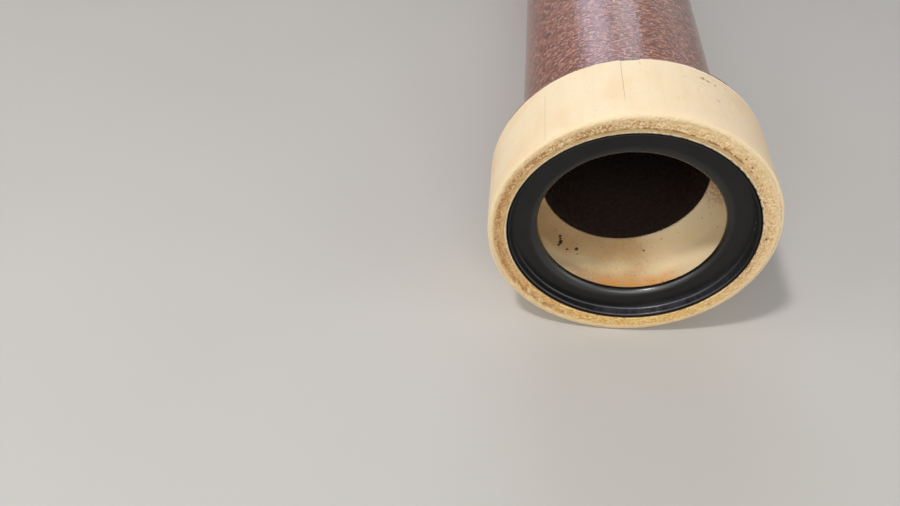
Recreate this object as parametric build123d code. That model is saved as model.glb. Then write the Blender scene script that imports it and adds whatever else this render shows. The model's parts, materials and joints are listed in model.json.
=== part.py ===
from build123d import *
import os
from math import asin, atan2, degrees, hypot, radians, tan

# Vitrified clay drain pipe, nominal bore 150, with one socket and one spigot.
# Two pieces: the pipe, fired as one body of clay, and the rubber seal bonded
# into the mouth of its socket.
#
# Both are drawn on a shared axis first: along runs from the mouth of the
# socket (0) to the spigot end, and out is the distance from the axis. The
# pipe then takes the pose in which it lies on level ground.

# Barrel
nominal_length = 1500.0      # from the socket's root to the spigot end, as sold
barrel_radius = 93.0         # outside
wall = 17.5

# Socket, outside
socket_radius = 120.7
socket_length = 82.3         # mouth to the corner of the shoulder, before rounding
shoulder_slope = 60.0        # degrees, from the pipe's axis
shoulder_rounding = 10.0     # convex, at the socket
shoulder_fillet = 14.0       # concave, into the barrel
mouth_rounding = 2.5         # outer edge of the mouth

# Socket, inside
seat_radius = 103.5          # where the seal is bonded
seat_length = 32.0
root_radius = 101.5          # the wall draws in a little towards the root
root_depth = 69.0            # mouth to the corner between the wall and the root
root_fillet = 5.0
socket_depth = 75.0          # mouth to the edge of the bore, where a spigot stops
bore_edge_rounding = 2.0
mouth_chamfer = 1.0          # inner edge of the mouth

# Spigot end
land_length = 12.0           # smoother, slightly smaller band at the very end
land_drop = 0.6
land_taper = 1.5             # length of the step from barrel to land
spigot_chamfer = 2.5         # outer edge
spigot_rounding = 1.0        # inner edge

# Seal
seal_clearance = 0.2         # adhesive gap to the seat
rim_recess = 0.9             # mouth to the front of the rim
rim_width = 1.9
rim_rounding = 0.9
rim_draft = 1.0              # the rim thickens by this much at its foot
face_depth = 8.8             # mouth to the flat face of the lip
face_fillet = 1.6
lip_radius = 78.9            # opening that the next pipe's spigot pushes through
lip_thickness = 7.2
lip_front_rounding = 3.5
lip_back_rounding = 1.5
lip_back_draft = 2.5         # the lip is this much thicker at its root
lip_root_fillet = 3.0
sleeve_length = 30.0         # mouth to the inner end of the bonded sleeve
sleeve_width = 5.8           # at the lip's root
sleeve_tip_width = 2.5
sleeve_tip_rounding = 0.8

# Sizes that follow from the ones above
overall_length = socket_depth + nominal_length
bore_radius = barrel_radius - wall
land_radius = barrel_radius - land_drop
land_start = overall_length - land_length
shoulder_foot = socket_length + (socket_radius - barrel_radius) / tan(radians(shoulder_slope))
seal_radius = seat_radius - seal_clearance


def turned(corners):
    """Turns a closed outline of (along, out, rounding) corners about the pipe's axis."""
    points = [(along, out) for along, out, rounding in corners]
    roundings = [rounding for along, out, rounding in corners]
    outline = FilletPolyline(*points, radius=roundings, close=True)
    return revolve(make_face(outline), axis=Axis.X)


def make_pipe():
    """The fired clay: socket, shoulder, barrel and spigot in one body."""
    inside = [
        (0, seat_radius + mouth_chamfer, 0),
        (mouth_chamfer, seat_radius, 0),
        (seat_length, seat_radius, 0),
        (root_depth, root_radius, root_fillet),
        (socket_depth, bore_radius, bore_edge_rounding),
        (overall_length, bore_radius, spigot_rounding),
    ]
    outside = [
        (overall_length, land_radius - spigot_chamfer, 0),
        (overall_length - spigot_chamfer, land_radius, 0),
        (land_start, land_radius, 0),
        (land_start - land_taper, barrel_radius, 0),
        (shoulder_foot, barrel_radius, shoulder_fillet),
        (socket_length, socket_radius, shoulder_rounding),
        (0, socket_radius, mouth_rounding),
    ]
    return turned(inside + outside)


def make_seal():
    """The rubber ring: a thin rim at the mouth, a flat lip and a sleeve bonded to the seat."""
    lip_back = face_depth + lip_thickness
    rim = [
        (rim_recess, seal_radius, rim_rounding),
        (rim_recess, seal_radius - rim_width, rim_rounding),
        (face_depth, seal_radius - rim_width - rim_draft, face_fillet),
    ]
    lip = [
        (face_depth, lip_radius, lip_front_rounding),
        (lip_back, lip_radius, lip_back_rounding),
        (lip_back + lip_back_draft, seal_radius - sleeve_width, lip_root_fillet),
    ]
    sleeve = [
        (sleeve_length, seal_radius - sleeve_tip_width, sleeve_tip_rounding),
        (sleeve_length, seal_radius, sleeve_tip_rounding),
    ]
    return turned(rim + lip + sleeve)


def lying_angle():
    """Degrees that the axis drops from the socket to the spigot end on level ground.

    The pipe rests on the rounding at the back of its socket and on the edge of
    the barrel beside the spigot's land, so its lowest line touches both.
    """
    turn = radians(shoulder_slope) / 2
    rounding_along = socket_length - shoulder_rounding * tan(turn)
    rounding_out = socket_radius - shoulder_rounding
    run = land_start - land_taper - rounding_along
    drop = rounding_out - barrel_radius
    return degrees(atan2(drop, run) + asin(shoulder_rounding / hypot(run, drop)))


def lay_down(pieces):
    """Leans the pieces to the lying angle, and sets them on the ground, centred."""
    leaning = [Rotation(0, lying_angle(), 0) * piece for piece in pieces]
    box = Compound(leaning).bounding_box()
    on_ground = Pos(-box.center().X, 0, -box.min.Z)
    return [on_ground * piece for piece in leaning]


os.makedirs("parts", exist_ok=True)
clay_pipe, seal_ring = lay_down([make_pipe(), make_seal()])
export_step(clay_pipe, "parts/clay_pipe.step")
export_step(seal_ring, "parts/seal_ring.step")
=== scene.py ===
import json
from collections import namedtuple
from math import ceil, cos, radians, sin, tan

import bpy
import numpy as np
from mathutils import Matrix, Vector, noise


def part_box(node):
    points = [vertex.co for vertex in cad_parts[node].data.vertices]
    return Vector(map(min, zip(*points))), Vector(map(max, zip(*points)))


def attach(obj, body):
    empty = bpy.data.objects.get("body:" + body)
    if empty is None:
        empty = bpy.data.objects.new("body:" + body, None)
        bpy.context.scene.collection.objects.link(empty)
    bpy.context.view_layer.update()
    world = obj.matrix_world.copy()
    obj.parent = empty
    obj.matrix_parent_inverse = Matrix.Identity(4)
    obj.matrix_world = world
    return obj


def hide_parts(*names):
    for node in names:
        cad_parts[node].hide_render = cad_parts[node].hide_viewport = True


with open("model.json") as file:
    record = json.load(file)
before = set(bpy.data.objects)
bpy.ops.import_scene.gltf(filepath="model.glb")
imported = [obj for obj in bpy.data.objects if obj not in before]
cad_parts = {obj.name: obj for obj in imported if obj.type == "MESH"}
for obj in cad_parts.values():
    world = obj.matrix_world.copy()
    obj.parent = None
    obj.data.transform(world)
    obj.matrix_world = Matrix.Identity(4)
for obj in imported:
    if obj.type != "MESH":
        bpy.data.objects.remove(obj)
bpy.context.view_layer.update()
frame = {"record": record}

# Clay drain pipe on a pale floor. The pipe and its rubber seal are turned shapes, drawn
# in millimetres: along is the distance from the mouth of the socket, out is the distance
# from the axis, and angles are in degrees from the top, positive towards +Y.
MM = 0.001
mounts = {mount["name"]: mount for mount in frame["record"]["mounts"]}

# Sizes of the clay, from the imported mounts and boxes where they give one
BARREL = mounts["barrel_outside"]["dims"]["r_mm"]
BORE = mounts["barrel_bore"]["dims"]["r_mm"]
SOCKET = (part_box("clay_pipe")[1].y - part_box("clay_pipe")[0].y) / 2 / MM
SOCKET_DEPTH = 75.0
OVERALL = SOCKET_DEPTH + 1500.0
SOCKET_LENGTH = 82.3
SHOULDER_SLOPE = 60.0
SHOULDER_ROUNDING = 10.0
SHOULDER_FILLET = 14.0
MOUTH_ROUNDING = 1.4
MOUTH_CHAMFER = 1.0
SEAT = 103.5
SEAT_LENGTH = 32.0
ROOT = 101.5
ROOT_DEPTH = 69.0
ROOT_FILLET = 5.0
BORE_EDGE = 2.0
FLARE = 0.7                  # how much further out the inner edge of the mouth is
MOUTH_BACK = 9.0             # how far back the mouth's fine rows and relief reach
NEAR_BARREL = 380.0          # up to here the rows of the barrel are closer together
NEAR_BORE = SOCKET_DEPTH + 60.0    # and those of the bore
LAND = 92.4
LAND_START = OVERALL - 12.0
LAND_TAPER = 1.5
SPIGOT_CHAMFER = 2.5
SPIGOT_ROUNDING = 1.0
SHOULDER_FOOT = SOCKET_LENGTH + (SOCKET - BARREL) / tan(radians(SHOULDER_SLOPE))
INNER_EDGE = SEAT + MOUTH_CHAMFER
GLAZE_START = 76.5           # where the bare band ends
GROOVE = 109.0               # between the flat and the lumpy ring of the mouth's face
EDGE_START = 113.5           # where the mouth's face begins to fall to its outer edge
LUMPS_END = 114.0            # where the lumpy ring begins to smooth out
UPPER_ANGLE = 25             # middle of the side of the mouth that has lost more clay
TORN_RING = 85.5             # in the cut face of the spigot

# The fired seat isn't quite round: an oval, a little off the centre
OFF_CENTRE = 1.45
OFF_CENTRE_ANGLE = -155
OVAL = 1.7
OVAL_ANGLE = 55

# Sizes of the seal
LIP = mounts["socket_seal"]["dims"]["r_mm"] - 0.8    # its opening is smaller in the photo
SEAL = SEAT - 0.2            # less the glue
RIM_FRONT = 0.9
RIM_WIDTH = 1.9
RIM_FOOT = RIM_WIDTH + 1.0
RIM_STAND_OFF = 1.3
LIP_ROUNDING = 5.5
FACE = 8.8
LIP_BACK = FACE + 7.2
LIP_ROOT = LIP_BACK + 2.5
SLEEVE_ROOT = SEAL - 5.8
SLEEVE_TIP = SEAL - 2.5
SLEEVE_END = 30.0
RIM_INSIDE = SEAL - RIM_FOOT
RIM_END = SEAT_LENGTH / 3    # how far back the rim's relief reaches

# Background behind the floor's edge, and how far from the origin the floor fades into it, in metres
BACKGROUND = 0.85
BACKGROUND_COLOUR = (0.98, 0.99, 1.0, 1)
FLOOR_FADE = (1.8, 5.5)

# How many vertices a ring has, and the widest angle between the rings of a rounding
FINE = 720
MEDIUM = 360
COARSE = 180
ARC_STEP = radians(15)
SHARP_TURN = radians(20)     # a corner that turns more than this keeps a sharp edge

# The pipe's own frame: its axis leaves the spigot end and leans down a little
AXIS = Vector(mounts["barrel_bore"]["axis"])
LEAN = Vector((1, 0, 0)).angle(AXIS)
MOUTH = Vector(mounts["barrel_bore"]["pos_m"]) - AXIS * (OVERALL + SOCKET_DEPTH) / 2 * MM
PIPE_TO_ROW = Matrix.Translation(MOUTH) @ Matrix.Rotation(LEAN, 4, "Y") @ Matrix.Scale(MM, 4)

Run = namedtuple("Run", "along out rounding spacing count zone")
Row = namedtuple("Row", "along out count zone sharp")
Mark = namedtuple("Mark", "along out angle radius depth")

# Pits, chips and lines in the clay
MOUTH_PITS = [
    Mark(0, 110.2, -88.2, 1.3, 1.2),
    Mark(0, 112.8, -88.7, 0.8, 0.8),
    Mark(0, 106.0, -66.0, 0.7, 0.5),
    Mark(0, 110.6, -41.0, 0.9, 0.7),
    Mark(0, 109.8, -46.0, 0.8, 0.6),
]
ROOT_PITS = [
    Mark(72, 88.7, 145, 1.5, 0),
    Mark(72, 91.0, 146, 1.4, 0),
    Mark(71, 93.2, 147.5, 1.9, 0),
    Mark(71, 94.8, 148, 1.7, 0),
    Mark(70, 97.2, 148, 1.3, 0),
    Mark(71, 93.9, 159, 1.9, 0),
    Mark(70, 97.5, 154, 1.3, 0),
    Mark(70, 98.6, 161, 0.8, 0),
    Mark(72, 90.3, -160, 1.2, 0),
    Mark(73, 83.1, -147, 0.7, 0),
    Mark(70, 96.1, -174, 0.5, 0),
]
BAND_CHIPS = [
    Mark(64.9, 120.7, -20.8, 1.8, 0.4),
    Mark(64.1, 120.7, -22.9, 1.7, 0.4),
    Mark(62.3, 120.7, -26.3, 1.3, 0.2),
    Mark(40.0, 120.7, -25.8, 1.3, 0.2),
]
ROOT_SMEAR = Mark(72, 84.0, -95.0, 20.0, 0)
CRACK_ANGLE = 10.5
SHORT_CRACK_ANGLE = 3.4
STREAK_ANGLE = 41.3
CHIPPED_EDGE = (-34, -18.5)  # angles between which the glaze starts a little earlier


# Turned shapes

def rows_of(runs):
    """Rows of vertices round a closed outline, whose clay or rubber is on the right of the way it runs.

    A run starts at its corner, which may be rounded, and has its own spacing of rows,
    number of vertices in a row and zone.
    """
    corners = [np.array((run.along, run.out), float) for run in runs]
    ways = [b - a for a, b in zip(corners, corners[1:] + corners[:1])]
    ways = [way / np.hypot(*way) for way in ways]
    turns = [np.arctan2(a[0] * b[1] - a[1] * b[0], a @ b) for a, b in zip(ways[-1:] + ways, ways)]
    cuts = [run.rounding * tan(abs(turn) / 2) for run, turn in zip(runs, turns)]
    rows = []
    for i, run in enumerate(runs):
        before, after = ways[i - 1], ways[i]
        if run.rounding:
            start = corners[i] - before * cuts[i]
            centre = start + np.sign(turns[i]) * run.rounding * np.array((-before[1], before[0]))
            steps = max(2, ceil(abs(turns[i]) / ARC_STEP))
            for step in range(steps + 1):
                angle = turns[i] * step / steps
                spoke = start - centre
                turned = (spoke[0] * np.cos(angle) - spoke[1] * np.sin(angle),
                          spoke[0] * np.sin(angle) + spoke[1] * np.cos(angle))
                rows.append(Row(*(centre + turned), run.count, run.zone, False))
        else:
            rows.append(Row(*corners[i], run.count, run.zone, abs(turns[i]) > SHARP_TURN))
        start = corners[i] + after * cuts[i]
        end = corners[(i + 1) % len(runs)] - after * cuts[(i + 1) % len(runs)]
        steps = max(1, ceil(np.hypot(*(end - start)) / run.spacing))
        for step in range(1, steps):
            rows.append(Row(*(start + (end - start) * step / steps), run.count, run.zone, False))
    return rows


def outward(rows):
    """The outline's normal at each row, as (along, out)."""
    points = np.array([(row.along, row.out) for row in rows])
    ways = np.roll(points, -1, axis=0) - points
    ways /= np.hypot(*ways.T)[:, None]
    normals = np.stack((-ways[:, 1], ways[:, 0]), axis=1)
    normals = normals + np.roll(normals, 1, axis=0)
    return normals / np.hypot(*normals.T)[:, None]


def strip(first, second, first_start, second_start):
    """Faces between two rings, one of which may have a whole number of times the other's vertices."""
    if first >= second:
        share, many, few, many_start, few_start = first // second, first, second, first_start, second_start
    else:
        share, many, few, many_start, few_start = second // first, second, first, second_start, first_start
    faces = []
    for j in range(few):
        near, far = few_start + j, few_start + (j + 1) % few
        ring = [many_start + (j * share + k) % many for k in range(share + 1)]
        if share == 1:
            faces.append((ring[0], near, far, ring[1]))
            continue
        half = share // 2
        faces += [(ring[k], near, ring[k + 1]) for k in range(half)]
        faces.append((ring[half], near, far))
        faces += [(ring[k], far, ring[k + 1]) for k in range(half, share)]
    return faces if first >= second else [face[::-1] for face in faces]


def turned_piece(name, runs, relief, materials, zones):
    """A closed turned mesh in the row frame. relief gives the shifts of a row's vertices, along and out."""
    rows = rows_of(runs)
    normals = outward(rows)
    starts = np.cumsum([0] + [row.count for row in rows])
    vertices, sharp_rows = [], np.zeros(starts[-1], int) - 1
    for row, normal, start in zip(rows, normals, starts):
        angles = np.arange(row.count) * 2 * np.pi / row.count
        along_shift, out_shift = relief(row, normal, angles)
        along = row.along + along_shift
        out = row.out + out_shift
        vertices.append(np.stack((along, out * np.sin(angles), out * np.cos(angles)), axis=1))
        if row.sharp:
            sharp_rows[start:start + row.count] = start
    vertices = np.concatenate(vertices)
    faces, slots = [], []
    for i, row in enumerate(rows):
        k = (i + 1) % len(rows)
        made = strip(row.count, rows[k].count, int(starts[i]), int(starts[k]))
        faces += made
        slots += [zones.index(row.zone)] * len(made)
    mesh = bpy.data.meshes.new(name)
    mesh.from_pydata(vertices, [], faces)
    mesh.transform(PIPE_TO_ROW)
    mesh.shade_smooth()
    for material in materials:
        mesh.materials.append(material)
    mesh.polygons.foreach_set("material_index", slots)
    ends = np.array([edge.vertices[:] for edge in mesh.edges])
    sharp = (sharp_rows[ends[:, 0]] >= 0) & (sharp_rows[ends[:, 0]] == sharp_rows[ends[:, 1]])
    mesh.attributes.new("sharp_edge", "BOOLEAN", "EDGE").data.foreach_set("value", sharp)
    mesh.update()
    piece = bpy.data.objects.new(name, mesh)
    bpy.context.scene.collection.objects.link(piece)
    return piece


def place_on(row, angles):
    """Points of a row before its relief, in millimetres."""
    return [Vector((row.along, row.out * sin_, row.out * cos_))
            for sin_, cos_ in zip(np.sin(angles), np.cos(angles))]


def middle_of(mark):
    """Place of a mark in the pipe's frame, in millimetres."""
    return mark.along, mark.out * sin(radians(mark.angle)), mark.out * cos(radians(mark.angle))


def grain(points, size, stretch=1.0):
    """Smooth noise between -1 and 1, with features of that size, longer round the pipe by stretch."""
    scale = Vector((1 / size, 1 / size / stretch, 1 / size / stretch))
    return np.array([noise.noise(point * scale) for point in points])


def fade(value, low, high):
    """0 at low, 1 at high and smooth between."""
    share = np.clip((value - low) / (high - low), 0, 1)
    return share * share * (3 - 2 * share)


# Clay

def pipe_runs():
    """The outline of the clay, from the inner edge of the mouth, out, along and back through the bore."""
    chamfer_end = LAND - SPIGOT_CHAMFER
    return [
        Run(0, INNER_EDGE, 0, 0.65, FINE, "bare"),
        Run(0, SOCKET, MOUTH_ROUNDING, 1.2, FINE, "bare"),
        Run(MOUTH_BACK, SOCKET, 0, 4.0, MEDIUM, "bare"),
        Run(GLAZE_START, SOCKET, 0, 1.0, MEDIUM, "glaze"),
        Run(SOCKET_LENGTH, SOCKET, SHOULDER_ROUNDING, 2.0, MEDIUM, "glaze"),
        Run(SHOULDER_FOOT, BARREL, SHOULDER_FILLET, 9.0, MEDIUM, "glaze"),
        Run(NEAR_BARREL, BARREL, 0, 20.0, COARSE, "glaze"),
        Run(LAND_START - LAND_TAPER, BARREL, 0, 1.5, MEDIUM, "glaze"),
        Run(LAND_START, LAND, 0, 2.5, MEDIUM, "glaze"),
        Run(OVERALL - SPIGOT_CHAMFER, LAND, 0, 0.9, MEDIUM, "cut"),
        Run(OVERALL, chamfer_end, 0, 0.7, MEDIUM, "cut"),
        Run(OVERALL, BORE, SPIGOT_ROUNDING, 60.0, COARSE, "bore"),
        Run(NEAR_BORE, BORE, 0, 10.0, MEDIUM, "bore"),
        Run(SOCKET_DEPTH, BORE, BORE_EDGE, 2.0, MEDIUM, "bare"),
        Run(ROOT_DEPTH, ROOT, ROOT_FILLET, 3.5, MEDIUM, "bare"),
        Run(SEAT_LENGTH, SEAT, 0, 8.0, MEDIUM, "bare"),
        Run(MOUTH_CHAMFER, SEAT, 0, 1.0, FINE, "bare"),
    ]


def out_of_round(angles):
    """How far the fired seat, and the seal in it, stand out from their circle at an angle."""
    return (OFF_CENTRE * np.cos(angles - radians(OFF_CENTRE_ANGLE))
            + OVAL * np.cos(2 * (angles - radians(OVAL_ANGLE))))


def dents(points, marks):
    """Depth of the pits and chips at points."""
    depth = np.zeros(len(points))
    for mark in marks:
        middle = Vector(middle_of(mark))
        far = np.array([(point - middle).length for point in points])
        depth += mark.depth * np.exp(-(far / mark.radius) ** 2)
    return depth


def upper_part(angles):
    """1 round the side of the mouth that has lost more clay, 0 round the other."""
    return fade(np.cos(angles - radians(UPPER_ANGLE)), -0.1, 0.6)


def mouth_depth(row, angles, points):
    """The torn face of the mouth: a flat ring, a groove, a lumpy ring and a soft outer edge."""
    upper = upper_part(angles)
    right = fade(np.cos(angles - radians(-65)), 0.2, 0.9)
    out = row.out + 1.0 * grain(points, 11)
    lumpy = fade(out, GROOVE, GROOVE + 0.9) * (1 - fade(out, LUMPS_END, LUMPS_END + 3.0))
    lumpy = lumpy * (0.35 + 0.35 * upper + 0.4 * right)
    lumpy = np.maximum(lumpy, 0.3 * (1 - upper) * (1 - fade(out, LUMPS_END + 0.5, LUMPS_END + 4.0)))
    hills = 2.2 * np.abs(grain(points, 4.2)) + 1.0 * np.abs(grain(points, 2.3))
    flat = (1 - fade(out, GROOVE - 0.8, GROOVE + 0.2)) * upper
    edge = np.clip((row.out - EDGE_START) / (SOCKET - EDGE_START), 0, 1) ** 2 * (0.1 + 0.9 * upper)
    depth = 0.1 + 0.9 * lumpy * np.clip(1 - hills, 0, 1) + 0.6 * flat + 1.3 * edge
    return depth + 0.08 * grain(points, 2.4) + dents(points, MOUTH_PITS)


def clay_relief(row, normal, angles):
    """Shifts along and out of a row of the clay, in millimetres. Outer surfaces only move inwards."""
    points = place_on(row, angles)
    depth, edge_shift, spread, widening = np.zeros(len(angles)), 0, 0, 0
    if row.out > INNER_EDGE - 0.1 and row.along < MOUTH_BACK:
        if row.out < SOCKET - MOUTH_ROUNDING:
            depth = mouth_depth(row, angles, points)
        else:
            # The outer edge of the mouth and the band beside it
            fall = (0.1 + 1.0 * upper_part(angles)) * (1 - fade(row.along, -1.5, 7.5))
            depth = 0.08 + fall + 0.08 * grain(points, 2.5)
        spread = (SOCKET - row.out) / (SOCKET - INNER_EDGE)
        widening = FLARE * (1 - fade(row.out, INNER_EDGE, INNER_EDGE + 4))
    elif row.zone == "glaze" and row.along < GLAZE_START + 0.5:
        # The ragged edge of the glaze
        edge_shift = 0.35 * grain(points, 14) + 0.2 * grain(points, 4) + glaze_steps(angles)
    elif row.zone == "glaze":
        # Ripples drawn out round the pipe
        depth = np.maximum(0.10 + 0.10 * grain(points, 14, 2.5) + 0.06 * grain(points, 5, 3), 0)
    elif row.zone == "bare" and row.out > SOCKET - 0.5:
        # The band
        depth = 0.08 + 0.05 * grain(points, 30) + 0.03 * grain(points, 6) + dents(points, BAND_CHIPS)
    elif row.zone == "cut" and row.along > OVERALL - 0.1:
        # The cut face of the spigot
        torn = np.abs(row.out + 1.3 * grain(points, 16) + 0.5 * grain(points, 4) - TORN_RING)
        depth = 0.1 + 0.5 * (1 - fade(torn, 0.2, 1.1)) * np.clip(0.6 + grain(points, 7), 0, 1)
        depth = depth + 0.1 * np.abs(grain(points, 3, 2)) + 0.1 * grain(points, 1.6)
    elif row.zone == "bare":
        # The inside of the socket, to the ragged edge of the bore
        spread = 1 - fade(row.along, SEAT_LENGTH, ROOT_DEPTH - 2)
        ragged = 0.4 * grain(points, 4) * fade(BORE_EDGE + BORE + 1 - row.out, 0, 1)
        depth = FLARE * (1 - fade(row.along, 4, 12)) + 0.05 * grain(points, 9) + np.maximum(ragged, 0)
    return edge_shift - normal[0] * depth, widening + spread * out_of_round(angles) - normal[1] * depth


def glaze_steps(angles):
    """The glaze starts earlier between the two cracks in the band, and a little earlier behind its chips."""
    degrees = np.degrees((angles + np.pi) % (2 * np.pi) - np.pi)
    between_cracks = (degrees > SHORT_CRACK_ANGLE) & (degrees < CRACK_ANGLE)
    behind_chips = (degrees > CHIPPED_EDGE[0]) & (degrees < CHIPPED_EDGE[1])
    return -1.3 * between_cracks - 0.8 * behind_chips


# Rubber

def seal_runs():
    """The outline of the seal, from the front of its lip, out to the rim, along the sleeve and back."""
    return [
        Run(FACE, LIP, LIP_ROUNDING, 1.2, MEDIUM, "rubber"),
        Run(FACE, RIM_INSIDE, 1.6, 1.2, MEDIUM, "rubber"),
        Run(RIM_FRONT, SEAL - RIM_WIDTH, 0.9, 1.0, MEDIUM, "rubber"),
        Run(RIM_FRONT, SEAL, 0.9, 1.0, MEDIUM, "rubber"),
        Run(RIM_END, SEAL, 0, 4.0, MEDIUM, "rubber"),
        Run(SLEEVE_END, SEAL, 0.8, 1.0, MEDIUM, "rubber"),
        Run(SLEEVE_END, SLEEVE_TIP, 0.8, 3.0, MEDIUM, "rubber"),
        Run(LIP_ROOT, SLEEVE_ROOT, 3.0, 3.0, MEDIUM, "rubber"),
        Run(LIP_BACK, LIP, 1.5, 1.5, MEDIUM, "rubber"),
    ]


def rubber_relief(row, normal, angles):
    """The seal follows the seat, is slightly uneven, and its rim stands off the clay at the bottom."""
    depth = 0.05 + 0.05 * grain(place_on(row, angles), 18)
    on_rim = fade(row.out, LIP + 8, RIM_INSIDE) * (1 - fade(row.along, 2, RIM_END))
    stand_off = RIM_STAND_OFF * on_rim * fade(-np.cos(angles), 0.2, 0.9)
    return -normal[0] * depth, out_of_round(angles) - stand_off - normal[1] * depth


# Materials

def srgb(red, green, blue):
    """A colour written as 0 to 255 values, as a linear one."""
    shares = [value / 255 for value in (red, green, blue)]
    return (*[s / 12.92 if s <= 0.04045 else ((s + 0.055) / 1.055) ** 2.4 for s in shares], 1.0)


class Shader:
    """A material's nodes, with a short method for each kind that the materials below use."""

    def __init__(self, name):
        self.material = bpy.data.materials.new(name)
        self.material.use_nodes = True
        self.nodes = self.material.node_tree.nodes
        self.links = self.material.node_tree.links
        self.surface = self.nodes["Principled BSDF"]

    def put(self, socket, value):
        """Links a socket to a node's output, or sets it to a plain value."""
        if isinstance(value, bpy.types.NodeSocket):
            self.links.new(value, socket)
        else:
            socket.default_value = value

    def node(self, kind, inputs=(), **settings):
        """A new node of that kind, with its settings and its inputs by name or number."""
        made = self.nodes.new("ShaderNode" + kind)
        for key, value in settings.items():
            setattr(made, key, value)
        for key, value in dict(inputs).items():
            self.put(made.inputs[key], value)
        return made

    def set(self, **values):
        """Links or sets inputs of the surface, whose names have _ here for each space."""
        for key, value in values.items():
            self.put(self.surface.inputs[key.replace("_", " ")], value)

    def maths(self, operation, *values):
        """The result of a Math node."""
        return self.node("Math", dict(enumerate(values)), operation=operation).outputs[0]

    def product(self, first, *others):
        """All the values multiplied."""
        for other in others:
            first = self.maths("MULTIPLY", first, other)
        return first

    def vector_maths(self, operation, *values):
        """A VectorMath node, some of which give a vector and some a value."""
        return self.node("VectorMath", dict(enumerate(values)), operation=operation)

    def fade(self, value, low, high, start=0.0, end=1.0):
        """start where value is low, end where it is high, and smooth between."""
        inputs = {"Value": value, "From Min": low, "From Max": high, "To Min": start, "To Max": end}
        return self.node("MapRange", inputs, interpolation_type="SMOOTHSTEP").outputs[0]

    def blend(self, share, first, second):
        """The first colour where share is 0 and the second where it is 1."""
        made = self.node("Mix", data_type="RGBA")
        for index, value in ((0, share), (6, first), (7, second)):
            self.put(made.inputs[index], value)
        return made.outputs[2]

    def noise(self, place, size, detail=2.0, roughness=0.5):
        """Noise between about 0 and 1, with features of that size in millimetres."""
        inputs = {"Vector": place, "Scale": 1 / size, "Detail": detail, "Roughness": roughness}
        return self.node("TexNoise", inputs).outputs[0]

    def wander(self, value, place, size, reach):
        """The value, moved by up to about reach by noise of that size."""
        move = self.maths("MULTIPLY", self.maths("SUBTRACT", self.noise(place, size, 3.0), 0.5), 3 * reach)
        return self.maths("ADD", value, move)

    def line(self, value, middle, half_width):
        """1 where value is middle, 0 a half width from it."""
        return self.fade(self.maths("ABSOLUTE", self.maths("SUBTRACT", value, middle)), half_width, 0.0)

    def scattered(self, place, size, share, radius):
        """1 in small spots at random, spaced by size, of which only a share is kept."""
        made = self.node("TexVoronoi", {"Vector": place, "Scale": 1 / size})
        draw = self.node("SeparateColor", {0: made.outputs["Color"]}).outputs[0]
        kept = self.maths("LESS_THAN", draw, share)
        return self.product(kept, self.fade(made.outputs["Distance"], radius / size, 0.5 * radius / size))

    def bump(self, height, depth):
        """A normal bent by height, where 1 is depth millimetres."""
        return self.node("Bump", {"Height": height, "Distance": depth * MM, "Strength": 1.0}).outputs[0]

    def stretched(self, place, along, across):
        """The place divided by a size along the pipe and another across it."""
        return self.vector_maths("MULTIPLY", place, (1 / along, 1 / across, 1 / across)).outputs[0]

    def around(self, direction, value, length, width):
        """A place for noise with features of that length round the pipe and that width in value."""
        turned = self.vector_maths("MULTIPLY", direction, (0, GROOVE / length, GROOVE / length)).outputs[0]
        side = self.node("CombineXYZ", {0: self.maths("DIVIDE", value, width)}).outputs[0]
        return self.vector_maths("ADD", turned, side).outputs[0]

    def pipe_place(self):
        """The shaded point in the pipe's frame, in millimetres: its place, along, out and direction."""
        inputs = {"Vector": self.node("TexCoord").outputs["Object"], "Location": MOUTH,
                  "Rotation": (0, LEAN, 0), "Scale": (MM, MM, MM)}
        place = self.node("Mapping", inputs, vector_type="TEXTURE").outputs[0]
        across = self.vector_maths("MULTIPLY", place, (0, 1, 1)).outputs[0]
        along = self.node("SeparateXYZ", {0: place}).outputs[0]
        out = self.vector_maths("LENGTH", across).outputs["Value"]
        return place, along, out, self.vector_maths("NORMALIZE", across).outputs[0]

    def toward(self, direction, angle):
        """Cosine of the angle round the pipe from a given angle."""
        aim = (0, sin(radians(angle)), cos(radians(angle)))
        return self.vector_maths("DOT_PRODUCT", direction, aim).outputs["Value"]

    def facing(self, direction, angle, low, high, start=0.0, end=1.0):
        """A fade by the cosine of the angle round the pipe from a given angle."""
        return self.fade(self.toward(direction, angle), low, high, start, end)

    def warped(self, place, size, reach):
        """The place, moved any way by up to about reach by noise of that size."""
        moves = self.node("TexNoise", {"Vector": place, "Scale": 1 / size, "Detail": 2.0}).outputs["Color"]
        moves = self.vector_maths("SUBTRACT", moves, (0.5, 0.5, 0.5)).outputs[0]
        return self.vector_maths("MULTIPLY_ADD", moves, (3 * reach, 3 * reach, 3 * reach), place).outputs[0]

    def spot(self, place, mark, outer, inner):
        """0 from outer times a mark's radius, rising to 1 at inner times it."""
        far = self.vector_maths("DISTANCE", place, middle_of(mark)).outputs["Value"]
        return self.fade(far, outer * mark.radius, inner * mark.radius)

    def marks(self, place, marks):
        """1 at each of the marks and 0 outside them."""
        total = 0.0
        for mark in marks:
            total = self.maths("MAXIMUM", total, self.spot(place, mark, 1.3, 0.7))
        return total


def mouth_ring(s, place, out, direction):
    """How far out a point of the mouth would be if the seat were round, wandering a little."""
    shift = s.maths("MULTIPLY", s.toward(direction, OFF_CENTRE_ANGLE), OFF_CENTRE)
    squared = s.maths("POWER", s.toward(direction, OVAL_ANGLE), 2.0)
    oval = s.maths("ADD", shift, s.maths("MULTIPLY_ADD", squared, 2 * OVAL, -OVAL))
    width = SOCKET - INNER_EDGE
    ring = s.maths("DIVIDE", s.maths("SUBTRACT", out, s.product(oval, SOCKET / width)),
                   s.maths("SUBTRACT", 1.0, s.maths("DIVIDE", oval, width)))
    return s.wander(s.wander(ring, place, 9, 0.5), place, 2.5, 0.4)


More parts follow.
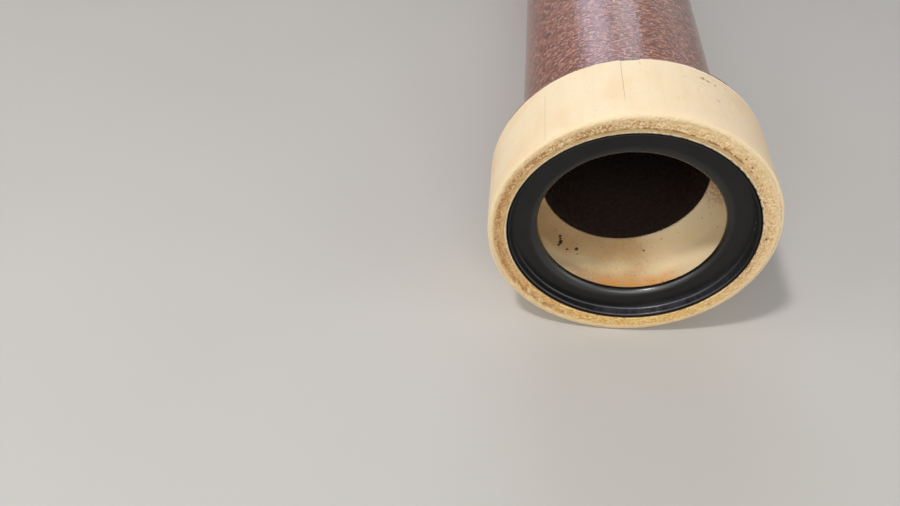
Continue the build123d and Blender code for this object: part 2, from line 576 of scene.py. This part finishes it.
def clay_patches(s, place, ring, direction):
    """Broad patches of the clay: tan, golden at the bottom, paler on the right, rusty on the left."""
    broad = s.noise(place, 10, 3.0)
    clay = s.blend(s.fade(broad, 0.35, 0.65), srgb(236, 204, 152), srgb(224, 186, 132))
    clay = s.blend(s.facing(direction, 180, 0.3, 0.9, 0, 0.8), clay, srgb(255, 216, 132))
    clay = s.blend(s.facing(direction, 105, 0.4, 0.95, 0, 0.6), clay, srgb(206, 160, 98))
    pale = s.product(s.facing(direction, -70, 0.1, 0.9, 0, 0.8), s.fade(ring, 108.0, 112.0))
    clay = s.blend(pale, clay, srgb(250, 218, 162))
    on_left = s.facing(direction, 92, -0.1, 0.6)
    rust = s.product(s.fade(broad, 0.30, 0.56), on_left, s.line(ring, 112.2, 3.8))
    return s.blend(s.maths("MULTIPLY", rust, 0.9), clay, srgb(186, 135, 78))


def torn_clay(s, place, ring, direction, lower):
    """Colour of the torn clay: its patches with pits, grains, crumbs and tears in them."""
    fine = s.noise(place, 1.7, 3.0, 0.6)
    torn = s.noise(s.around(direction, ring, 5.0, 1.4), 1.0, 3.0, 0.6)
    near_band = s.fade(ring, 119.5, 115.0)
    beyond = s.fade(ring, GROOVE - 0.5, GROOVE + 1.0)
    rough = s.product(s.maths("MAXIMUM", beyond, lower), s.fade(ring, LUMPS_END + 3.0, EDGE_START))
    clay = clay_patches(s, place, ring, direction)
    clay = s.blend(s.product(s.fade(torn, 0.47, 0.35), near_band, 0.5), clay, srgb(176, 118, 58))
    on_right = s.facing(direction, -70, 0.0, 0.8)
    low = s.facing(direction, 180, 0.2, 0.8)
    pitted = s.product(s.fade(fine, 0.47, 0.40), rough, s.fade(on_right, 0, 1, 0.65, 0.35),
                       s.fade(low, 0, 1, 1, 0.6))
    clay = s.blend(pitted, clay, s.blend(on_right, srgb(158, 110, 60), srgb(204, 150, 84)))
    blotches = s.noise(s.around(direction, ring, 6.0, 3.5), 1.0, 2.0)
    clay = s.blend(s.product(s.fade(blotches, 0.50, 0.62), low, 0.45), clay, srgb(230, 160, 90))
    clay = s.blend(s.product(s.fade(blotches, 0.42, 0.34), low, 0.7), clay, srgb(255, 222, 156))
    crumbs = s.fade(s.noise(s.around(direction, ring, 4.0, 2.0), 1.0, 3.0, 0.6), 0.58, 0.66)
    clay = s.blend(s.product(crumbs, low, near_band, 0.6), clay, srgb(140, 88, 42))
    crested = s.facing(direction, -40, -0.4, 0.7, 0.3, 0.9)
    clay = s.blend(s.product(s.fade(fine, 0.54, 0.60), rough, crested), clay, srgb(252, 226, 194))
    return s.blend(s.product(s.fade(torn, 0.55, 0.66), near_band, 0.4), clay, srgb(250, 222, 176))


def mouth_colour(s, place, out, direction):
    """The torn face: a flat ring, pale edges, glue at the inner one, and painted shade in the groove and
    ledge at the top.
    """
    ring = mouth_ring(s, place, out, direction)
    lower = s.maths("SUBTRACT", 1.0, s.facing(direction, UPPER_ANGLE, -0.1, 0.6))
    colour = torn_clay(s, place, ring, direction, lower)
    at_top = s.facing(direction, -5, 0.45, 0.85)
    flat = s.product(s.fade(ring, GROOVE, GROOVE - 1.2), at_top, 0.6)
    colour = s.blend(flat, colour, srgb(206, 172, 116))
    # Painted shade: a broken dark line at the groove on the upper side, where the lumpy ring stands over the
    # flat one.
    broken = s.fade(s.noise(place, 4.5, 3.0), 0.42, 0.56)
    groove = s.product(s.line(ring, GROOVE + 0.1, 1.2), at_top, broken, 0.85)
    colour = s.blend(groove, colour, srgb(142, 98, 48))
    colour = s.blend(s.fade(ring, 113.6, 118.2), colour, srgb(248, 224, 182))
    # Painted shade: a faint dark line in the shallow crease at the outer ledge, on the upper side.
    ledge_shade = s.product(s.line(ring, 116.6, 1.0), s.facing(direction, 15, 0.1, 0.7),
                      s.fade(s.noise(place, 8, 2.0), 0.35, 0.6), 0.55)
    colour = s.blend(ledge_shade, colour, srgb(206, 172, 124))
    rim_line = s.product(s.line(ring, 118.0, 0.9), lower, s.fade(s.noise(place, 9, 2.0), 0.35, 0.55), 0.45)
    colour = s.blend(rim_line, colour, srgb(176, 122, 70))
    inner = s.product(s.fade(ring, 106.2, 105.6), s.facing(direction, 20, -0.5, 0.3, 0.0, 0.75))
    colour = s.blend(inner, colour, srgb(250, 234, 202))
    ragged = s.fade(s.noise(place, 4.5, 3.0), 0.50, 0.58)
    glue_and_gap_shade = s.product(s.fade(ring, INNER_EDGE + 1.2, INNER_EDGE + 0.6), ragged,
                     s.facing(direction, -40, 0.0, 0.6), 0.8)
    return s.blend(glue_and_gap_shade, colour, srgb(66, 50, 36))


def hairline(s, place, direction, angle, reach, half_width, share):
    """A fine crack along the pipe at an angle, wandering by reach, of which a share shows."""
    across = s.wander(s.toward(direction, angle + 90), place, 5, reach)
    return s.product(s.line(across, 0.0, half_width), share, s.facing(direction, angle, 0.9, 0.95))


def band_colour(s, place, along, direction):
    """Smooth cream of the band, faintly streaked along the pipe, with hairline cracks, chips and scuffs."""
    broad = s.noise(place, 40)
    streaks = s.noise(s.stretched(place, 90, 7), 1.0, 3.0)
    cream = s.blend(s.fade(broad, 0.35, 0.7), srgb(250, 229, 194), srgb(247, 220, 180))
    cream = s.blend(s.fade(streaks, 0.45, 0.75, 0, 0.2), cream, srgb(234, 208, 164))
    cream = s.blend(s.fade(s.noise(place, 1.6, 3.0, 0.6), 0.5, 0.8, 0, 0.3), cream, srgb(226, 196, 150))
    cream = s.blend(s.facing(direction, -60, 0.3, 1.0, 0, 0.35), cream, srgb(240, 210, 172))
    scratches = s.noise(s.stretched(place, 5.0, 1.1), 1.0, 2.0)
    cream = s.blend(s.fade(scratches, 0.65, 0.74, 0, 0.35), cream, srgb(196, 164, 120))
    patches = s.fade(s.noise(place, 13, 3.0), 0.52, 0.66)
    pinkish = s.product(patches, s.facing(direction, -38, 0.88, 0.98), 0.5)
    cream = s.blend(pinkish, cream, srgb(244, 214, 192))
    smudges = s.product(s.fade(s.noise(s.stretched(place, 2.5, 6), 1.0, 3.0), 0.56, 0.70),
                        s.facing(direction, -28, 0.94, 0.99), s.fade(along, 35, 50), 0.4)
    cream = s.blend(smudges, cream, srgb(196, 166, 128))
    crack = hairline(s, place, direction, CRACK_ANGLE, 0.0016, 0.0032, s.fade(along, 10, 30, 0, 0.6))
    cream = s.blend(crack, cream, srgb(112, 92, 66))
    short = hairline(s, place, direction, SHORT_CRACK_ANGLE, 0.0012, 0.0035, s.fade(along, 63, 72, 0, 0.5))
    cream = s.blend(short, cream, srgb(128, 102, 70))
    streak = s.product(s.line(s.toward(direction, STREAK_ANGLE + 90), 0.0, 0.012), s.fade(along, 66, 60),
                       s.facing(direction, STREAK_ANGLE, 0.9, 0.95), 0.35)
    cream = s.blend(streak, cream, srgb(206, 196, 158))
    # Pale back edge beside the glaze on the right: partly chipped clay, partly a painted highlight on its
    # sharp edge.
    beside_glaze = s.fade(along, GLAZE_START - 3.5, GLAZE_START - 1.5)
    edge = s.product(beside_glaze, s.facing(direction, -50, 0.7, 0.9), 0.6)
    cream = s.blend(edge, cream, srgb(255, 244, 226))
    chips = s.maths("MULTIPLY", s.marks(s.warped(place, 2.2, 1.2), BAND_CHIPS), 0.75)
    return s.blend(chips, cream, srgb(160, 122, 78))


def inside_colour(s, place, along, direction, fine):
    """Buff of the socket's inside, with turning marks, coloured patches, specks, pits, painted shade and
    painted light.
    """
    buff = s.blend(s.fade(s.noise(place, 24, 3.0), 0.35, 0.65), srgb(232, 202, 154), srgb(218, 184, 134))
    buff = s.blend(s.fade(fine, 0.45, 0.75, 0, 0.5), buff, srgb(190, 152, 104))
    turned = s.noise(s.around(direction, along, 30, 2.0), 1.0, 2.0)
    buff = s.blend(s.fade(turned, 0.5, 0.75, 0, 0.3), buff, srgb(200, 168, 122))
    # Painted shade: the root deep on the left side is painted darker.
    painted_shade_left = s.product(s.facing(direction, 150, 0.75, 0.98), s.fade(along, 65, 71), 0.6)
    buff = s.blend(painted_shade_left, buff, srgb(182, 148, 106))
    # Painted light: the right side of the wall, which lies in shade, is painted paler.
    buff = s.blend(s.facing(direction, -126, 0.72, 0.96, 0, 0.9), buff, srgb(255, 234, 194))
    pink = s.product(s.fade(along, 58, 50), s.facing(direction, 166, 0.93, 0.985),
                     s.fade(s.noise(place, 5, 3.0), 0.35, 0.6), 0.45)
    buff = s.blend(pink, buff, srgb(208, 168, 140))
    orange = s.product(s.fade(s.wander(along, place, 12, 5), 54, 45),
                       s.fade(s.wander(s.toward(direction, 194), place, 14, 0.03), 0.89, 0.975),
                       s.fade(s.noise(place, 6, 3.0), 0.35, 0.6, 0.45, 0.85))
    buff = s.blend(orange, buff, srgb(248, 178, 98))
    # Painted light: paler patches low on the left and at the bottom, where the wall and the root's corner
    # lie in shade.
    painted_light_patches = [
        (s.fade(along, 66, 56), 138, 0.90, 0.98, 0.9),
        (s.line(along, 62.0, 10.0), 154, 0.95, 0.985, 0.9),
        (s.line(along, 64.0, 12.0), 176, 0.93, 0.985, 0.5),
    ]
    for reach, angle, low, high, strength in painted_light_patches:
        painted_light_patch = s.product(reach, s.facing(direction, angle, low, high), strength)
        buff = s.blend(painted_light_patch, buff, srgb(255, 236, 194))
    specks = s.maths("MAXIMUM", s.scattered(place, 6.5, 0.3, 0.8), s.scattered(place, 3.6, 0.25, 0.55))
    buff = s.blend(s.maths("MULTIPLY", specks, 0.8), buff, srgb(110, 78, 46))
    blotchy = s.fade(s.noise(place, 2.6, 3.0, 0.6), 0.42, 0.60)
    smear = s.product(blotchy, s.spot(place, ROOT_SMEAR, 1.0, 0.3), 0.5)
    buff = s.blend(smear, buff, srgb(170, 100, 50))
    return s.blend(s.marks(s.warped(place, 1.6, 0.9), ROOT_PITS), buff, srgb(50, 30, 18))


def bare_clay():
    """Unglazed clay of the socket: a smooth cream band, a torn tan mouth and a buff inside."""
    s = Shader("bare_clay")
    place, along, out, direction = s.pipe_place()
    fine = s.noise(place, 2.5, 3.0)
    colour = band_colour(s, place, along, direction)
    on_mouth = s.fade(s.wander(along, place, 6, 0.4), 3.0, 1.4)
    colour = s.blend(on_mouth, colour, mouth_colour(s, place, out, direction))
    colour = s.blend(s.marks(s.warped(place, 1.5, 0.4), MOUTH_PITS), colour, srgb(84, 54, 30))
    inside = s.product(s.fade(out, 112, 110), s.fade(along, 1.6, 2.4))
    colour = s.blend(inside, colour, inside_colour(s, place, along, direction, fine))
    # Painted shade: the seat in the gap behind the seal's rim is painted dark brown, standing for the gap's
    # shadow.
    glue_and_gap_shade = s.product(s.fade(along, 0.6, 1.2), s.fade(along, 14, 10), s.fade(out, 108, 107))
    colour = s.blend(glue_and_gap_shade, colour, srgb(50, 40, 32))
    rough = s.product(on_mouth, s.fade(out, 120, 118), 0.9)
    height = s.product(s.noise(place, 1.9, 4.0, 0.65), s.maths("ADD", rough, 0.07))
    s.set(Base_Color=colour, Roughness=s.fade(fine, 0.2, 0.8, 0.6, 0.8), Normal=s.bump(height, 1.1))
    s.surface.inputs["Specular IOR Level"].default_value = 0.3
    return s.material


def glaze():
    """Glossy red-brown glaze with pale flecks drawn out round the pipe, and a painted shadow line at its
    step.
    """
    s = Shader("glaze")
    place, along, _, direction = s.pipe_place()
    flecks = s.noise(s.stretched(place, 2.3, 5.5), 1.0, 2.0, 0.5)
    small = s.noise(s.stretched(place, 1.4, 3.0), 1.0, 2.0)
    broad = s.noise(place, 30, 3.0)
    body = s.blend(s.fade(broad, 0.3, 0.7), srgb(128, 62, 40), srgb(139, 73, 51))
    body = s.blend(s.fade(flecks, 0.47, 0.41, 0, 0.75), body, srgb(78, 35, 26))
    body = s.blend(s.fade(flecks, 0.56, 0.62, 0, 0.5), body, srgb(208, 154, 124))
    colour = s.blend(s.fade(small, 0.61, 0.67, 0, 0.7), body, srgb(230, 198, 178))
    # Painted shadow: a thin dark line where the glaze starts between the two cracks, under the glaze's step.
    step = s.product(s.fade(along, GLAZE_START + 1.4, GLAZE_START), s.facing(direction, 7, 0.9974, 0.9984))
    colour = s.blend(step, colour, srgb(58, 30, 24))
    height = s.maths("ADD", flecks, s.product(small, 0.3))
    s.set(Base_Color=colour, Roughness=s.fade(small, 0.3, 0.8, 0.05, 0.14), Normal=s.bump(height, 0.55))
    s.surface.inputs["IOR"].default_value = 1.5
    s.surface.inputs["Specular IOR Level"].default_value = 0.4
    return s.material


def bore_glaze():
    """Dark glaze inside the bore."""
    s = Shader("bore_glaze")
    place, along, _, _ = s.pipe_place()
    mottle = s.noise(place, 6.0, 3.0)
    flecks = s.noise(s.stretched(place, 2.5, 4.5), 1.0, 2.0)
    colour = s.blend(s.fade(mottle, 0.3, 0.75), srgb(60, 32, 24), srgb(74, 42, 31))
    colour = s.blend(s.fade(along, 700, 200, 0, 0.9), colour, srgb(64, 54, 47))
    colour = s.blend(s.fade(flecks, 0.68, 0.78, 0, 0.07), colour, srgb(150, 116, 98))
    s.set(Base_Color=colour, Roughness=s.fade(mottle, 0.3, 0.8, 0.25, 0.32), Normal=s.bump(flecks, 0.05))
    s.surface.inputs["IOR"].default_value = 1.5
    return s.material


def cut_clay():
    """The cut face of the spigot: pale clay with a torn ring, streaks and pores."""
    s = Shader("cut_clay")
    place, _, out, direction = s.pipe_place()
    ring = s.wander(s.wander(out, place, 20, 0.9), place, 4, 0.4)
    fine = s.noise(place, 1.4, 3.0)
    streaks = s.noise(s.around(direction, ring, 12.0, 1.2), 1.0, 3.0, 0.6)
    colour = s.blend(s.fade(s.noise(place, 12, 3.0), 0.35, 0.65), srgb(228, 211, 170), srgb(212, 192, 148))
    colour = s.blend(s.fade(streaks, 0.46, 0.68, 0, 0.7), colour, srgb(184, 160, 118))
    torn = s.product(s.line(ring, TORN_RING, 1.2), s.fade(s.noise(place, 9, 2.0), 0.35, 0.55), 0.7)
    colour = s.blend(torn, colour, srgb(140, 114, 78))
    colour = s.blend(s.fade(fine, 0.6, 0.75, 0, 0.7), colour, srgb(132, 104, 70))
    colour = s.blend(s.fade(ring, LAND - 3.0, LAND - 1.8, 0, 0.7), colour, srgb(240, 228, 196))
    height = s.maths("ADD", fine, s.maths("MULTIPLY", streaks, 0.7))
    s.set(Base_Color=colour, Roughness=s.fade(fine, 0.2, 0.8, 0.65, 0.85), Normal=s.bump(height, 0.6))
    return s.material


def rubber():
    """Satin black rubber with a little dust and painted sheen, smoother on the nose of the lip and beside
    the rim.
    """
    s = Shader("seal_rubber")
    place, _, out, direction = s.pipe_place()
    smear = s.noise(place, 16, 3.0)
    colour = s.blend(s.fade(smear, 0.35, 0.75), srgb(6, 7, 7), srgb(14, 14, 14))
    colour = s.blend(s.scattered(place, 4.0, 0.12, 0.45), colour, srgb(150, 146, 136))
    low = s.facing(direction, 180, 0.1, 0.8)
    rim = s.fade(out, RIM_INSIDE - 1.2, RIM_INSIDE)
    # Dust and painted sheen: the rim's wall at the bottom is painted a lighter bluish grey, partly dust,
    # partly sheen.
    dust_and_sheen = s.fade(s.noise(s.around(direction, out, 9.0, 0.9), 1.0, 4.0, 0.7), 0.34, 0.66)
    colour = s.blend(s.product(rim, low, dust_and_sheen), colour, srgb(54, 52, 62))
    nose = s.product(s.fade(out, LIP + 8.0, LIP + 4.0), s.facing(direction, 180, 0.0, 0.8, 0.4, 1.0))
    fold = s.product(s.fade(out, RIM_INSIDE - 4.0, RIM_INSIDE - 1.5), low)
    matt = s.product(s.fade(out, RIM_INSIDE - 2.5, RIM_INSIDE - 1.0), s.maths("SUBTRACT", 1.0, low), 0.4)
    roughness = s.maths("ADD", s.fade(smear, 0.3, 0.8, 0.28, 0.38), matt)
    s.set(Base_Color=colour, Roughness=roughness, Coat_Weight=s.maths("MAXIMUM", nose, fold),
          Normal=s.bump(s.noise(place, 0.9, 2.0), 0.08))
    s.surface.inputs["Specular IOR Level"].default_value = 0.36
    s.surface.inputs["Coat Roughness"].default_value = 0.27
    return s.material


def background_seen(nodes, links):
    """1 for rays that see the background directly, in a mirror or through glass, 0 for the rest."""
    rays = nodes.new("ShaderNodeLightPath").outputs
    seen = rays["Is Camera Ray"]
    for kind in ("Is Glossy Ray", "Is Transmission Ray"):
        either = nodes.new("ShaderNodeMath")
        either.operation = "MAXIMUM"
        links.new(seen, either.inputs[0])
        links.new(rays[kind], either.inputs[1])
        seen = either.outputs[0]
    return seen


def floor_material():
    """Pale matt floor that fades into the background far from the object."""
    s = Shader("floor")
    place = s.node("TexCoord").outputs["Object"]
    mottle = s.noise(place, 0.35, 4.0)
    s.set(Base_Color=s.blend(mottle, srgb(196, 192, 186), srgb(204, 200, 195)))
    s.surface.inputs["Roughness"].default_value = 0.9
    s.surface.inputs["Specular IOR Level"].default_value = 0.1
    away = s.fade(s.vector_maths("LENGTH", place).outputs["Value"], *FLOOR_FADE)
    glow = s.node("Emission", {"Color": BACKGROUND_COLOUR, "Strength": BACKGROUND})
    share = s.product(away, background_seen(s.nodes, s.links))
    mixed = s.node("MixShader", {0: share, 1: s.surface.outputs[0], 2: glow.outputs[0]})
    s.put(s.nodes["Material Output"].inputs["Surface"], mixed.outputs[0])
    return s.material


# The two pieces

pipe = turned_piece("pipe_body", pipe_runs(), clay_relief,
                    [bare_clay(), glaze(), bore_glaze(), cut_clay()], ["bare", "glaze", "bore", "cut"])
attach(pipe, "root")
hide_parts("clay_pipe")

seal = turned_piece("lip_seal", seal_runs(), rubber_relief, [rubber()], ["rubber"])
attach(seal, "root")
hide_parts("seal_ring")


# Floor, light and camera

def add_floor(radius=14.0, corners=96):
    """A round level floor."""
    angles = np.arange(corners) * 2 * np.pi / corners
    edge = np.stack((radius * np.cos(angles), radius * np.sin(angles), 0 * angles), axis=1)
    mesh = bpy.data.meshes.new("floor")
    mesh.from_pydata(edge, [], [tuple(range(corners))])
    mesh.materials.append(floor_material())
    floor = bpy.data.objects.new("floor", mesh)
    bpy.context.scene.collection.objects.link(floor)


def add_world(level):
    """Even light from all round; the background, and what gloss mirrors of it, is paler."""
    world = bpy.data.worlds.new("studio")
    world.use_nodes = True
    nodes, links = world.node_tree.nodes, world.node_tree.links
    strength = nodes.new("ShaderNodeMapRange")
    strength.inputs["To Min"].default_value = level
    strength.inputs["To Max"].default_value = BACKGROUND
    links.new(background_seen(nodes, links), strength.inputs["Value"])
    links.new(strength.outputs[0], nodes["Background"].inputs["Strength"])
    nodes["Background"].inputs["Color"].default_value = BACKGROUND_COLOUR
    bpy.context.scene.world = world


def add_softbox(name, place, target, width, height, radiance, colour):
    """A rectangular lamp of that radiance, facing its target."""
    lamp = bpy.data.lights.new(name, "AREA")
    lamp.shape = "RECTANGLE"
    lamp.size, lamp.size_y = width, height
    lamp.energy = radiance * width * height * np.pi
    lamp.color = colour
    made = bpy.data.objects.new(name, lamp)
    made.location = place
    made.rotation_mode = "QUATERNION"
    made.rotation_quaternion = (Vector(target) - Vector(place)).to_track_quat("-Z", "Y")
    made.visible_camera = False
    bpy.context.scene.collection.objects.link(made)


def add_camera():
    """The photograph's viewpoint, fitted to the circles of the socket.

    It looks down into the mouth, from a little to one side.
    """
    focal_px, image_width_px = 790.24, 900
    pitch, heading = 45.50, 4.895
    place = (-1.27174, 0.11054, 0.58253)
    lens = bpy.data.cameras.new("camera")
    lens.sensor_width = 36.0
    lens.lens = lens.sensor_width * focal_px / image_width_px
    camera = bpy.data.objects.new("camera", lens)
    camera.location = place
    camera.rotation_euler = (radians(90 - pitch), 0, radians(heading - 90))
    bpy.context.scene.collection.objects.link(camera)
    bpy.context.scene.camera = camera


# Each lamp's name, place, target, width, height, radiance and colour
AT_SOCKET = (-0.75, 0, 0.12)
LAMPS = [
    ("key", (-1.53, 0.82, 2.48), AT_SOCKET, 0.22, 0.22, 191.0, (1.0, 0.985, 0.955)),
    ("front", (-2.75, 0.15, 1.75), AT_SOCKET, 2.3, 1.05, 2.95, (1.0, 0.99, 0.97)),
    ("right", (-1.6, -2.4, 1.6), AT_SOCKET, 1.6, 1.6, 1.5, (0.92, 0.95, 1.0)),
    ("left", (-1.6, 2.4, 1.6), AT_SOCKET, 1.6, 1.6, 1.75, (1.0, 0.99, 0.97)),
    ("far_sky_left", (5.0, 1.54, 3.15), (-0.5, 0.94, 0.2), 2.1, 3.7, 3.3, (0.70, 0.78, 1.0)),
    ("far_sky_right", (5.0, -0.62, 3.15), (-0.5, -1.22, 0.2), 1.6, 3.7, 2.3, (0.74, 0.84, 1.0)),
]

add_floor()
add_world(level=0.2)
for lamp in LAMPS:
    add_softbox(*lamp)
add_camera()
bpy.context.scene.view_settings.view_transform = "Standard"
